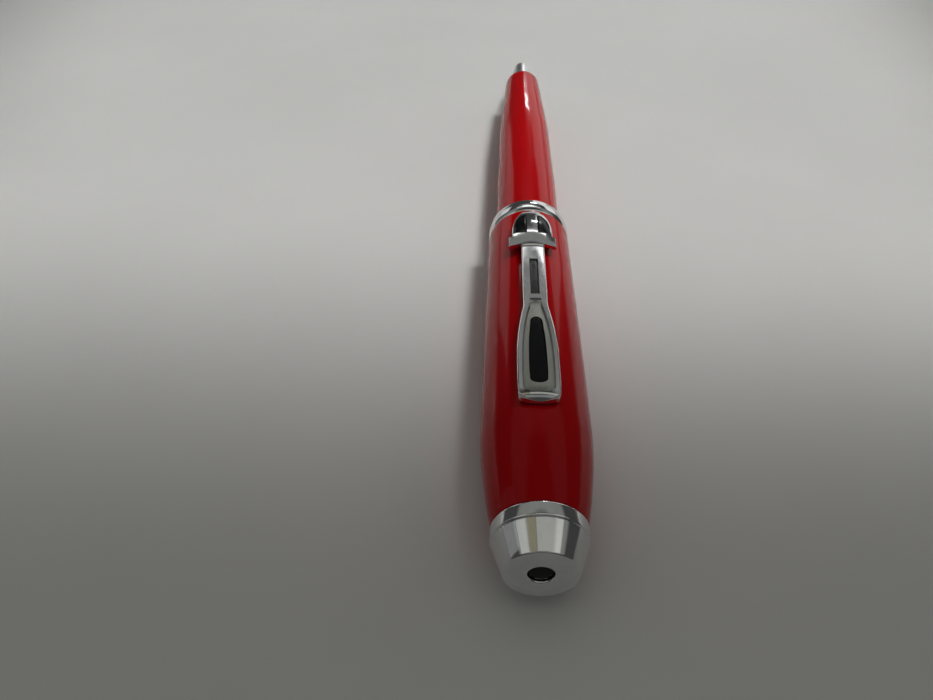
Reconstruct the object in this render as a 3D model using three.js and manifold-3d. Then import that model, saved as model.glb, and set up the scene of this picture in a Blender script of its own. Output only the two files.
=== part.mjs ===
// A capped rollerball pen, lying on a table with its clip uppermost, in millimetres.
//
// Every piece is drawn in the pen's own coordinates: y runs along the pen from the crown's end face
// (y = 0) to the tail (y = LENGTH), the pen's axis is x = z = 0, and the clip is on the +Z side. The
// group that holds them all then lifts the axis so that the widest part of the cap rests on z = 0.
//
// A turned piece is a lathe of a few profile points [radius, y]. Its facets are tangent to the true
// circle, so a flat facet faces straight down and the pen lies still instead of rolling.

import * as THREE from "three";
import Module from "manifold-3d";
import { mergeVertices } from "three/addons/utils/BufferGeometryUtils.js";

const wasm = await Module();
wasm.setup();

// ---------------------------------------------------------------- driving dimensions

const LENGTH = 138; // capped pen, crown face to tail
const CAP_LENGTH = 70; // crown face to the mouth of the cap
const CAP_RADIUS = 7.55; // widest part of the cap
const CAP_BELLY = 20; // where the cap is widest
const LIP_RADIUS = 6.8; // cap at its lip ring
const CROWN_LENGTH = 6.3; // chrome cone and band
const CROWN_RADIUS = 6.1;
const BARREL_RADIUS = 5.5; // barrel where it leaves the cap
const TAIL_RADIUS = 2.9; // barrel where it meets the tail finial
const REFILL_RADIUS = 3;
const REFILL_LENGTH = 110.5;
const BALL_RADIUS = 0.35; // 0.7 mm point
const CLIP_START = 20.1; // broad end of the clip
const CLIP_END = 65.2; // tip of the clip's head
const FACETS = 24;
const RESTING_FACETS = 16; // the cap's shell and lip ring, which the pen lies on
const FEW_FACETS = 16; // for pieces under about 5 mm across
const FIT = 0.05; // gap left between faces that touch
const SLIP = 0.1; // radial gap between pieces that move on each other

// ---------------------------------------------------------------- derived stations along the pen

const SHELL_START = CROWN_LENGTH + FIT;
const LIP_WIDTH = 3.5;
const LIP_START = CAP_LENGTH - LIP_WIDTH;
const POINT = 14; // front of the writing ball
const REFILL_END = POINT + REFILL_LENGTH;
const NOSE_START = POINT + 2.5; // the refill's point stands this far out of the nose cone
const SLEEVE_START = 27.5; // nose cone meets grip sleeve
const LOCK_START = 59; // ring that the cap snaps on
const FLANGE_START = 61.6; // flange of the section core
const JOINT_START = 64.5; // loose ring between section and barrel
const BARREL_START = 67;
const THREAD_END = 73; // end of the section core's rear thread
const PILOT_END = 79; // plain pilot behind the thread
const FINIAL_LENGTH = 9.3;
const BARREL_END = LENGTH - FINIAL_LENGTH;
const CAP_WALL = 0.8;
const LINER_START = 10;
const LINER_FLOOR = 1.2; // thickness of the liner's closed end
const CORE_RADIUS = 3.7; // section core, over its threads
const HINGE_Y = 22.5; // clip hinge pin
const HINGE_Z = 8.45;

// ---------------------------------------------------------------- geometry helpers

/** A turned solid. A profile that starts on the axis ends there too; any other closes on itself. */
function lathe(profile, facets = FACETS) {
  const stretch = 1 / Math.cos(Math.PI / facets);
  const points = profile.map(([r, y]) => new THREE.Vector2(r * stretch, y));
  if (profile[0][0] > 0) points.push(points[0].clone());
  if (THREE.ShapeUtils.area(points) < 0) points.reverse();
  return new THREE.LatheGeometry(points, facets, Math.PI / facets);
}

/** A plain ring or tube. */
function tube(inner, outer, from, to, facets) {
  return lathe([[inner, from], [outer, from], [outer, to], [inner, to]], facets);
}

/** A plain round bar on the pen's axis. */
function bar(radius, from, to, facets) {
  return lathe([[0, from], [radius, from], [radius, to], [0, to]], facets);
}

/** Points [radius, y] along a smooth outline through a few stations, sampled evenly in y. */
function outline(stations, from, to, count) {
  const curve = new THREE.SplineCurve(stations.map(([r, y]) => new THREE.Vector2(y, r)));
  const fine = curve.getPoints(200);
  return Array.from({ length: count + 1 }, (_, i) => {
    const y = from + ((to - from) * i) / count;
    const after = Math.max(1, fine.findIndex((p) => p.x >= y - 1e-9));
    const [a, b] = [fine[after - 1], fine[after]];
    return [a.y + ((b.y - a.y) * (y - a.x)) / (b.x - a.x), y];
  });
}

/** The radius at y on an outline made by outline(). */
function radiusAt(points, y) {
  const after = Math.max(1, points.findIndex((p) => p[1] >= y));
  const [a, b] = [points[after - 1], points[after]];
  return a[0] + ((b[0] - a[0]) * (y - a[1])) / (b[1] - a[1]);
}

const offset = (points, by) => points.map(([r, y]) => [r + by, y]);

/** A closed geometry as a solid that can be cut and joined. */
function solid(geometry) {
  const bare = geometry.clone();
  bare.deleteAttribute("normal");
  bare.deleteAttribute("uv");
  const merged = mergeVertices(bare, 1e-4);
  return new wasm.Manifold(
    new wasm.Mesh({
      numProp: 3,
      vertProperties: new Float32Array(merged.attributes.position.array),
      triVerts: new Uint32Array(merged.index.array),
    }),
  );
}

function geometryOf(manifold) {
  const mesh = manifold.getMesh();
  const geometry = new THREE.BufferGeometry();
  geometry.setAttribute("position", new THREE.BufferAttribute(mesh.vertProperties, mesh.numProp));
  geometry.setIndex(new THREE.BufferAttribute(mesh.triVerts, 1));
  geometry.computeVertexNormals();
  return geometry;
}

/** A flat outline in x and y, raised from z = low to z = high. */
function prism(shape, low, high, curveSegments = 5) {
  const depth = high - low;
  const geometry = new THREE.ExtrudeGeometry(shape, { depth, bevelEnabled: false, curveSegments });
  return geometry.translate(0, 0, low);
}

function block(width, length, height, x, y, z) {
  return new THREE.BoxGeometry(width, length, height).translate(x, y, z);
}

/** A round bar across the pen, along X. */
function crossBar(radius, halfLength, y, z, facets = 12) {
  const geometry = new THREE.CylinderGeometry(radius, radius, 2 * halfLength, facets);
  return geometry.rotateZ(Math.PI / 2).translate(0, y, z);
}

/** A round bar that stands on the cap wall, along Z. */
function standingBar(radius, y, low, high, facets = 12) {
  const geometry = new THREE.CylinderGeometry(radius, radius, high - low, facets);
  return geometry.rotateX(Math.PI / 2).translate(0, y, (low + high) / 2);
}

/** A coil of round wire about an axis along Y, with its first and last turn closed up. */
class Coil extends THREE.Curve {
  constructor(radius, from, to, turns, wire) {
    super();
    Object.assign(this, { radius, from, to, turns, wire });
  }

  getPoint(t, target = new THREE.Vector3()) {
    const turn = t * this.turns;
    const closed = 1.05 * 2 * this.wire; // pitch of the end turns
    const open = (this.to - this.from - 2 * this.wire - 2 * closed) / (this.turns - 2);
    const middle = Math.min(Math.max(turn - 1, 0), this.turns - 2);
    const ends = Math.min(turn, 1) + Math.max(turn - this.turns + 1, 0);
    const y = this.from + this.wire + closed * ends + open * middle;
    const angle = 2 * Math.PI * turn;
    return target.set(this.radius * Math.cos(angle), y, this.radius * Math.sin(angle));
  }
}

function wireAlong(curve, wire, steps, sides = 6) {
  const section = new THREE.Shape().absarc(0, 0, wire, 0, 2 * Math.PI);
  const options = { extrudePath: curve, steps, curveSegments: sides, bevelEnabled: false };
  return new THREE.ExtrudeGeometry(section, options);
}

// ---------------------------------------------------------------- materials

const finish = (color, roughness, metalness) =>
  new THREE.MeshStandardMaterial({ color, roughness, metalness });

const lacquer = finish(0xa3060a, 0.12, 0.1);
const chrome = finish(0xc9cbcc, 0.1, 1);
const enamel = finish(0x0b0c0d, 0.15, 0);
const gripPlastic = finish(0x111112, 0.35, 0);
const brass = finish(0xb08d57, 0.35, 1);
const steel = finish(0x9b9d9f, 0.3, 1);
const nickelSilver = finish(0xb9b6ab, 0.25, 1);
const carbide = finish(0x7d7f83, 0.15, 1);
const linerPlastic = finish(0xd8d6cf, 0.5, 0);
const rubber = finish(0x1c1c1d, 0.8, 0);
const refillPlastic = finish(0x2a2c31, 0.4, 0);
const fibre = finish(0x14161f, 0.95, 0);

const pen = new THREE.Group();

function add(name, geometry, material) {
  const mesh = new THREE.Mesh(geometry, material);
  mesh.name = name;
  pen.add(mesh);
}

// ---------------------------------------------------------------- outlines that several pieces share

const capStations = [
  [5.97, SHELL_START],
  [6.92, 12.5],
  [CAP_RADIUS, CAP_BELLY],
  [7.45, 32],
  [7.13, 50],
  [LIP_RADIUS, LIP_START],
];
const capOutline = outline(capStations, SHELL_START, LIP_START, 16);

const ROUNDING_START = BARREL_END - 1.2; // the barrel's end is rounded over from here
const barrelStations = [
  [BARREL_RADIUS, BARREL_START],
  [5.4, 83],
  [5.2, 92],
  [4.93, 106],
  [4.46, 115],
  [4.1, 120.7],
  [3.65, ROUNDING_START],
];
const barrelOutline = [
  ...outline(barrelStations, BARREL_START, ROUNDING_START, 18),
  [3.4, BARREL_END - 0.4],
  [TAIL_RADIUS, BARREL_END],
];

// ---------------------------------------------------------------- crown, on the closed end of the cap

const BAND_START = 4.1;
const CROWN_FACE_RADIUS = 4.1;
const DISC_RADIUS = 1.6;
const DISC_DEPTH = 0.8;
const CROWN_BORE_END = 1.5;
const SCREW_RADIUS = 1;
const SCREW_HOLE = SCREW_RADIUS + SLIP;
const WASHER_START = LINER_START + LINER_FLOOR + FIT;
const HEAD_START = WASHER_START + 0.35;
const HEAD_END = HEAD_START + 0.8;

function crown() {
  const coneEnd = BAND_START - FIT;
  add(
    "crown_cone",
    lathe([
      [0, DISC_DEPTH],
      [DISC_RADIUS, DISC_DEPTH],
      [DISC_RADIUS, 0],
      [CROWN_FACE_RADIUS, 0],
      [4.5, 0.12],
      [4.72, 0.5],
      [CROWN_RADIUS - 0.05, coneEnd],
      [SCREW_HOLE, coneEnd],
      [SCREW_HOLE, CROWN_BORE_END],
      [0, CROWN_BORE_END],
    ]),
    chrome,
  );
  const edge = 0.15;
  add(
    "crown_band",
    lathe([
      [SCREW_HOLE, BAND_START],
      [CROWN_RADIUS - edge, BAND_START],
      [CROWN_RADIUS, BAND_START + edge],
      [CROWN_RADIUS, CROWN_LENGTH - edge],
      [CROWN_RADIUS - edge, CROWN_LENGTH],
      [SCREW_HOLE, CROWN_LENGTH],
    ]),
    chrome,
  );
  add("crown_disc", bar(DISC_RADIUS - FIT, FIT, DISC_DEPTH - FIT, FACETS), enamel);

  const screw = lathe(
    [
      [0, CROWN_BORE_END + SLIP],
      [SCREW_RADIUS, CROWN_BORE_END + SLIP],
      [SCREW_RADIUS, HEAD_START],
      [2.2, HEAD_START],
      [2.2, HEAD_END],
      [0, HEAD_END],
    ],
    FEW_FACETS,
  );
  const slot = block(0.5, 0.7, 6, 0, HEAD_END, 0);
  add("crown_screw", geometryOf(solid(screw).subtract(solid(slot))), steel);
  add("screw_washer", tube(SCREW_HOLE, 2.4, WASHER_START, HEAD_START - FIT, FEW_FACETS), steel);
}

// ---------------------------------------------------------------- cap

const STEM_RADIUS = 0.8;
const MOUTH_RADIUS = 6.05; // cap shell's bore at its mouth
const SPIGOT_RADIUS = 6.35;
const LINER_OUTSIDE = 5.5;
const LINER_BORE = 5;
const LINER_MOUTH = 5.65; // clears the barrel, which reaches into the cap's mouth
const LINER_FLARE_START = 58; // the liner and the shell's bore widen from here
const LINER_FLARE_END = 60;
const SNAP_Y = 60.25;

function capShell() {
  const floorEnd = SHELL_START + 1;
  const spigotEnd = CAP_LENGTH - 0.6;
  const inside = offset(capOutline, -CAP_WALL).filter(([, y]) => y > floorEnd + 1.5 && y < LINER_FLARE_START);
  const shell = lathe(
    [
      [SCREW_HOLE, SHELL_START],
      ...capOutline,
      [SPIGOT_RADIUS, LIP_START],
      [SPIGOT_RADIUS, spigotEnd],
      [MOUTH_RADIUS, spigotEnd],
      [MOUTH_RADIUS, LINER_FLARE_END],
      ...inside.reverse(),
      [5.2, floorEnd],
      [SCREW_HOLE, floorEnd],
    ],
    RESTING_FACETS,
  );
  const stemHole = standingBar(STEM_RADIUS + SLIP, HINGE_Y, 5.9, 8.9);
  add("cap_shell", geometryOf(solid(shell).subtract(solid(stemHole))), lacquer);
}

function lipRing() {
  const inner = SPIGOT_RADIUS + FIT;
  const outer = LIP_RADIUS + 0.07;
  const bevel = 0.6;
  add(
    "lip_ring",
    lathe(
      [
        [inner, LIP_START + FIT],
        [outer - 0.24, LIP_START + FIT],
        [outer, LIP_START + bevel],
        [outer, CAP_LENGTH - 2 * bevel],
        [outer - 0.22, CAP_LENGTH],
        [MOUTH_RADIUS, CAP_LENGTH],
        [MOUTH_RADIUS, CAP_LENGTH - 0.55],
        [inner, CAP_LENGTH - 0.55],
      ],
      RESTING_FACETS,
    ),
    chrome,
  );
}

/** The plastic inner cap, with a groove for the snap ring, and what sits in it. */
function capLiner() {
  const mouth = CAP_LENGTH - 0.7;
  const bottom = LINER_START + LINER_FLOOR;
  const grooveRadius = 5.35;
  const halfGroove = 0.55;
  add(
    "cap_liner",
    lathe([
      [SCREW_HOLE, LINER_START],
      [5.6, LINER_START],
      [5.6, LINER_START + 1.5],
      [LINER_OUTSIDE, LINER_START + 1.8],
      [LINER_OUTSIDE, LINER_FLARE_START],
      [MOUTH_RADIUS - 0.08, LINER_FLARE_END + 0.2],
      [MOUTH_RADIUS - 0.08, mouth],
      [LINER_MOUTH, mouth],
      [LINER_MOUTH, JOINT_START - 1],
      [LINER_BORE, JOINT_START - 1.5],
      [LINER_BORE, SNAP_Y + halfGroove],
      [grooveRadius, SNAP_Y + halfGroove],
      [grooveRadius, SNAP_Y - halfGroove],
      [LINER_BORE, SNAP_Y - halfGroove],
      [LINER_BORE, 30],
      [4.6, 28],
      [4.6, bottom],
      [SCREW_HOLE, bottom],
    ]),
    linerPlastic,
  );

  const ring = tube(LINER_BORE - 0.1, grooveRadius - SLIP, SNAP_Y - 0.45, SNAP_Y + 0.45);
  const split = block(1.2, 3, 2, 0, SNAP_Y, -5.2);
  add("snap_ring", geometryOf(solid(ring).subtract(solid(split))), steel);

  const padEnd = POINT - SLIP;
  add(
    "tip_seal",
    lathe(
      [
        [0, HEAD_END + FIT],
        [4.5, HEAD_END + FIT],
        [4.5, padEnd],
        [2.3, padEnd],
        [2.1, padEnd + 2.1],
        [1.5, padEnd + 2.1],
        [1.3, padEnd],
        [0, padEnd],
      ],
      FACETS,
    ),
    rubber,
  );
}

// ---------------------------------------------------------------- clip

const CLIP_GAP = 0.35; // between the cap and the clip
const BLADE_HALF = 2.7;
const NECK_HALF = 1.75;
const BLADE_END = 41; // blade meets neck
const BAR_START = 53.8; // cross-bar of the clip's head
const BAR_END = 56;
const BAR_HALF = 3.7;
const HEAD_HALF = 3.2;
const PIN_RADIUS = 0.35;
const EAR_HALF = 0.7;
const DISH_DEPTH = 0.4; // shallow dish round the blade's window
const INLAY_FLOOR = 0.95; // from the clip's top surface down to the floor of its pockets
const INLAY_THICKNESS = 0.45;

/** The clip seen from above, widest at its blade, with a cross-bar and a rounded head. */
function clipShape() {
  const shape = new THREE.Shape();
  shape.moveTo(-BLADE_HALF, CLIP_START + 1);
  shape.quadraticCurveTo(0, CLIP_START - 1, BLADE_HALF, CLIP_START + 1);
  shape.bezierCurveTo(BLADE_HALF + 0.1, 29, NECK_HALF + 0.15, 37, NECK_HALF, BLADE_END);
  shape.lineTo(NECK_HALF, BAR_START);
  shape.lineTo(BAR_HALF, BAR_START + 0.15);
  shape.lineTo(BAR_HALF, BAR_END - 0.3);
  shape.lineTo(HEAD_HALF, BAR_END);
  shape.bezierCurveTo(HEAD_HALF, 61.5, 1.9, CLIP_END, 0, CLIP_END);
  shape.bezierCurveTo(-1.9, CLIP_END, -HEAD_HALF, 61.5, -HEAD_HALF, BAR_END);
  shape.lineTo(-BAR_HALF, BAR_END - 0.3);
  shape.lineTo(-BAR_HALF, BAR_START + 0.15);
  shape.lineTo(-NECK_HALF, BAR_START);
  shape.lineTo(-NECK_HALF, BLADE_END);
  shape.bezierCurveTo(-NECK_HALF - 0.15, 37, -BLADE_HALF - 0.1, 29, -BLADE_HALF, CLIP_START + 1);
  return shape;
}

/** A long drop: half its width at the broad end, its width at the narrow end, and its two ends. */
function drop(broad, narrow, start, end) {
  const shape = new THREE.Shape();
  shape.moveTo(-broad, start + 0.5);
  shape.quadraticCurveTo(0, start - 0.5, broad, start + 0.5);
  shape.bezierCurveTo(broad, start + 6, narrow, end - 3, narrow, end - 0.5);
  shape.quadraticCurveTo(0, end + 0.5, -narrow, end - 0.5);
  shape.bezierCurveTo(-narrow, end - 3, -broad, start + 6, -broad, start + 0.5);
  return shape;
}

const bladeDish = () => drop(2.1, 0.75, 21.7, 40.2);
const bladeWindow = (inset) => drop(1.2 - inset, 0.6 - inset, 24.3 + inset, 36.3 - inset);

function neckWindow(inset) {
  const half = 0.62 - inset;
  const shape = new THREE.Shape();
  shape.moveTo(-half, 41.9 + inset);
  shape.lineTo(half, 41.9 + inset);
  shape.lineTo(half, 50.3 - inset);
  shape.lineTo(-half, 50.3 - inset);
  return shape;
}

/** One of the two windows beside the head's rib; side is 1 or -1. */
function headWindow(side, inset) {
  const near = 0.85 + inset;
  const far = 2.6 - inset;
  const shape = new THREE.Shape();
  shape.moveTo(side * near, 56.6 + inset);
  shape.lineTo(side * far, 56.6 + inset);
  shape.quadraticCurveTo(side * far, 60.5 - inset, side * near, 62 - inset);
  return shape;
}

const clipSurface = (lift) => {
  const over = (y, by) => [radiusAt(capOutline, y) + by + lift, y];
  return [
    over(CLIP_START - 1, 0.6),
    over(CLIP_START + 0.5, 1.35),
    over(CLIP_START + 1.8, 1.95),
    over(32, 1.85),
    over(BLADE_END, 1.7),
    over(BAR_START - 0.4, 1.7),
    over(BAR_END, 2.2),
    over(59, 2.1),
    over(62.5, 1.7),
    over(CLIP_END + 1, 0.9),
  ];
};

/** Everything below the clip's top surface moved by lift. */
const underClipSurface = (lift) =>
  solid(lathe([[2, CLIP_START], ...clipSurface(lift), [2, CLIP_END]], 2 * FACETS));

function clipFrame() {
  const under = (y, by) => [radiusAt(capOutline, y) + by, y];
  const body = lathe(
    [
      ...clipSurface(0),
      under(CLIP_END + 1, 0.5),
      under(62, CLIP_GAP),
      under(BAR_START, CLIP_GAP - 0.1),
      under(BAR_START - 2, 0.75),
      under(BLADE_END, 0.75),
      under(30, CLIP_GAP + 0.1),
      under(CLIP_START - 1, CLIP_GAP + 0.1),
    ],
    2 * FACETS,
  );
  const dish = solid(prism(bladeDish(), 4, 12)).subtract(underClipSurface(-DISH_DEPTH));
  const windows = [bladeWindow(0), neckWindow(0), headWindow(1, 0), headWindow(-1, 0)]
    .map((shape) => solid(prism(shape, 4, 12)))
    .reduce((all, one) => all.add(one))
    .subtract(underClipSurface(-INLAY_FLOOR));
  const hingeRoom = block(2 * EAR_HALF + 0.6, 2.3, 2, 0, HINGE_Y, HINGE_Z - 0.55);
  const pinHole = crossBar(PIN_RADIUS + SLIP, 4, HINGE_Y, HINGE_Z);
  return solid(body)
    .intersect(solid(prism(clipShape(), 4, 12, 8)))
    .subtract(dish)
    .subtract(windows)
    .subtract(solid(hingeRoom))
    .subtract(solid(pinHole));
}

/** Black enamel that fills the lower part of a window. */
function inlay(shape) {
  const top = underClipSurface(-INLAY_FLOOR + INLAY_THICKNESS);
  const bottom = underClipSurface(-INLAY_FLOOR + FIT);
  return geometryOf(solid(prism(shape, 4, 12)).intersect(top).subtract(bottom));
}

function clip() {
  add("clip_frame", geometryOf(clipFrame()), chrome);
  add("blade_inlay", inlay(bladeWindow(FIT)), enamel);
  add("neck_inlay", inlay(neckWindow(FIT)), enamel);
  add("head_inlay_left", inlay(headWindow(-1, FIT)), enamel);
  add("head_inlay_right", inlay(headWindow(1, FIT)), enamel);
}

/** The bracket riveted through the cap wall, and the sprung pin that the clip rocks on. */
function clipMounting() {
  const seat = CAP_RADIUS + FIT;
  const earTop = HINGE_Z + 0.3;
  const ear = block(2 * EAR_HALF, 1.9, earTop - seat, 0, HINGE_Y, (earTop + seat) / 2);
  const stemLow = 5.8;
  const stem = standingBar(STEM_RADIUS, HINGE_Y, stemLow, seat + 0.4);
  const hole = crossBar(PIN_RADIUS + FIT, 4, HINGE_Y, HINGE_Z);
  add("clip_bracket", geometryOf(solid(ear).add(solid(stem)).subtract(solid(hole))), steel);

  const rivet = solid(standingBar(1.5, HINGE_Y, stemLow, stemLow + 0.55));
  const rivetHole = solid(standingBar(STEM_RADIUS + FIT, HINGE_Y, 5, 7));
  add("bracket_rivet", geometryOf(rivet.subtract(rivetHole)), steel);
  add("clip_pin", crossBar(PIN_RADIUS, 2.5, HINGE_Y, HINGE_Z), steel);

  // A bent leaf round the bracket: its tail lies on the cap, its front lifts the clip's heel.
  const leafWidth = 2.6;
  const rest = CAP_RADIUS + FIT;
  const thickness = 0.14;
  const rise = 0.08;
  const profile = new THREE.Shape([
    new THREE.Vector2(20.3, rest + rise),
    new THREE.Vector2(24.2, rest),
    new THREE.Vector2(25.8, rest),
    new THREE.Vector2(25.8, rest + thickness),
    new THREE.Vector2(24.2, rest + thickness),
    new THREE.Vector2(20.3, rest + rise + thickness),
  ]);
  const leaf = new THREE.ExtrudeGeometry(profile, { depth: leafWidth, bevelEnabled: false });
  leaf.translate(0, 0, -leafWidth / 2);
  leaf.applyMatrix4(new THREE.Matrix4().set(0, 0, 1, 0, 1, 0, 0, 0, 0, 1, 0, 0, 0, 0, 0, 1));
  const opening = block(2 * EAR_HALF + 0.2, 2.1, 4, 0, HINGE_Y, CAP_RADIUS);
  add("clip_spring", geometryOf(solid(leaf).subtract(solid(opening))), steel);
}

// ---------------------------------------------------------------- grip section

const CORE_BORE = REFILL_RADIUS + SLIP;
const CORE_FRONT = 23.9;
const NOSE_THREAD = 3.5;
const FLANGE_RADIUS = 4.7;
const PILOT_RADIUS = 3.5;

function gripSection() {
  const seat = CORE_RADIUS + FIT;
  const noseStations = [[1.5, NOSE_START], [2.6, 20], [3.7, 23.8], [4.15, SLEEVE_START - FIT]];
  const nose = outline(noseStations, NOSE_START, SLEEVE_START - FIT, 6);
  add(
    "nose_cone",
    lathe([
      [1.25, NOSE_START],
      ...nose,
      [NOSE_THREAD + SLIP, SLEEVE_START - FIT],
      [NOSE_THREAD + SLIP, CORE_FRONT - SLIP],
      [2.05, CORE_FRONT - SLIP],
      [2.05, 20],
      [1.25, 20],
    ]),
    chrome,
  );

  const grip = [[4.2, SLEEVE_START], [4.3, 36], [4.62, 52], [FLANGE_RADIUS, LOCK_START - FIT]];
  const sleeve = outline(grip, SLEEVE_START, LOCK_START - FIT, 6);
  add(
    "grip_sleeve",
    lathe([[seat, SLEEVE_START], ...sleeve, [seat, LOCK_START - FIT]]),
    gripPlastic,
  );

  const lockEnd = FLANGE_START - FIT;
  add(
    "lock_ring",
    lathe([
      [seat, LOCK_START],
      [4.72, LOCK_START],
      [4.84, LOCK_START + 0.4],
      [4.66, LOCK_START + 0.8],
      [4.66, lockEnd - 0.8],
      [4.84, lockEnd - 0.4],
      [4.72, lockEnd],
      [seat, lockEnd],
    ]),
    chrome,
  );

  add(
    "section_core",
    lathe([
      [CORE_BORE, CORE_FRONT],
      [NOSE_THREAD, CORE_FRONT],
      [NOSE_THREAD, SLEEVE_START + 0.5],
      [CORE_RADIUS, SLEEVE_START + 0.7],
      [CORE_RADIUS, FLANGE_START],
      [FLANGE_RADIUS, FLANGE_START],
      [FLANGE_RADIUS, JOINT_START - FIT],
      [CORE_RADIUS, JOINT_START - FIT],
      [CORE_RADIUS, THREAD_END],
      [PILOT_RADIUS, THREAD_END + 0.3],
      [PILOT_RADIUS, PILOT_END],
      [CORE_BORE, PILOT_END],
    ]),
    brass,
  );

  add("joint_ring", tube(CORE_RADIUS + SLIP, 5.3, JOINT_START, BARREL_START - FIT), chrome);
  const ringStart = BARREL_START + FIT;
  add("thread_seal", tube(seat, 4.15, ringStart, ringStart + 0.6), rubber);
}

// ---------------------------------------------------------------- barrel

const BUSH_RADIUS = 4.25;
const BUSH_START = BARREL_START + 0.75;
const BUSH_END = 80.4;
const SPRING_BORE = 2.35;
const STUD_RADIUS = 1;
const STUD_HEAD = 127;
const WALL_START = 127.6; // closed end of the barrel

function barrel() {
  add(
    "barrel_shell",
    lathe([
      [BUSH_RADIUS + FIT, BARREL_START],
      ...barrelOutline,
      [STUD_RADIUS + SLIP, BARREL_END],
      [STUD_RADIUS + SLIP, WALL_START],
      [SPRING_BORE, WALL_START],
      [SPRING_BORE, REFILL_END + 1.2],
      [CORE_BORE, REFILL_END + 1],
      [CORE_BORE, 112],
      [3.6, 106],
      [3.6, BUSH_END + FIT],
      [BUSH_RADIUS + FIT, BUSH_END + FIT],
    ]),
    lacquer,
  );
  add("barrel_bush", tube(CORE_RADIUS + SLIP, BUSH_RADIUS, BUSH_START, BUSH_END), brass);

  const finialStart = BARREL_END + FIT;
  const boreEnd = finialStart + 5;
  add(
    "tail_finial",
    lathe(
      [
        [0, LENGTH],
        [0.8, LENGTH],
        [1.3, LENGTH - 0.5],
        [1.64, LENGTH - 1.4],
        [1.9, LENGTH - 2.6],
        [2.12, LENGTH - 4.8],
        [2.2, finialStart + 0.6],
        [2.2, finialStart],
        [STUD_RADIUS + SLIP, finialStart],
        [STUD_RADIUS + SLIP, boreEnd],
        [0, boreEnd],
      ],
      FACETS,
    ),
    chrome,
  );
  add(
    "finial_screw",
    lathe(
      [
        [0, STUD_HEAD],
        [2, STUD_HEAD],
        [2, WALL_START - FIT],
        [STUD_RADIUS, WALL_START - FIT],
        [STUD_RADIUS, boreEnd - SLIP],
        [0, boreEnd - SLIP],
      ],
      FEW_FACETS,
    ),
    steel,
  );

  const wire = 0.2;
  const coil = new Coil(1.95, REFILL_END + FIT, STUD_HEAD - FIT, 4, wire);
  add("refill_spring", wireAlong(coil, wire, 48), steel);
}

// ---------------------------------------------------------------- refill

function refill() {
  const tubeStart = 25;
  const tubeInner = 2.4;
  const plugStart = 121;
  add("refill_tube", tube(tubeInner, REFILL_RADIUS, tubeStart, REFILL_END - 1), refillPlastic);

  const noseStart = 20.15;
  add(
    "refill_nose",
    lathe(
      [
        [1.2, noseStart],
        [1.7, noseStart],
        [1.9, noseStart + 0.4],
        [1.9, CORE_FRONT + FIT],
        [REFILL_RADIUS, CORE_FRONT + 0.5],
        [REFILL_RADIUS, tubeStart - FIT],
        [tubeInner - FIT, tubeStart - FIT],
        [tubeInner - FIT, 29],
        [0.6, 29],
        [0.6, 24.2],
        [1.2, 24.2],
      ],
      FACETS,
    ),
    refillPlastic,
  );

  const ballCentre = POINT + BALL_RADIUS;
  const lip = ballCentre - 0.18;
  add(
    "refill_tip",
    lathe(
      [
        [0.345, lip],
        [0.43, lip],
        [0.62, lip + 0.6],
        [1.12, lip + 2.6],
        [1.12, 24.1],
        [0.55, 24.1],
        [0.55, 17],
        [0.2, 16.4],
        [0.2, ballCentre + 0.6],
        [0.43, ballCentre + 0.42],
        [0.43, ballCentre - 0.05],
      ],
      FEW_FACETS,
    ),
    nickelSilver,
  );
  add(
    "writing_ball",
    new THREE.SphereGeometry(BALL_RADIUS, 16, 10).translate(0, ballCentre, 0),
    carbide,
  );

  add("feed_rod", bar(0.45, 17.2, 31, FEW_FACETS), fibre);
  const ink = tube(0.55, tubeInner - SLIP, 29.2, plugStart - 0.5, FEW_FACETS);
  add("ink_reservoir", ink, fibre);
  add(
    "refill_plug",
    lathe([
      [0, plugStart],
      [tubeInner - FIT, plugStart],
      [tubeInner - FIT, REFILL_END - 1 + FIT],
      [REFILL_RADIUS, REFILL_END - 1 + FIT],
      [REFILL_RADIUS - 0.3, REFILL_END],
      [0, REFILL_END],
    ]),
    refillPlastic,
  );
}

// ---------------------------------------------------------------- assembly

crown();
capShell();
lipRing();
capLiner();
clip();
clipMounting();
gripSection();
barrel();
refill();

const axisHeight = Math.max(...capOutline.map(([r]) => r));
pen.position.set(0, -LENGTH / 2, axisHeight);
export default pen;
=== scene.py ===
"""Looks for a capped rollerball pen in red lacquer and chrome.

Each piece is drawn in the pen's own coordinates, in millimetres: y runs along the pen from the face
of the crown (0) to the tail (138), x = z = 0 is the pen's axis, and the clip is on the +z side.
place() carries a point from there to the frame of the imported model, in metres.
"""

import math

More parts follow.
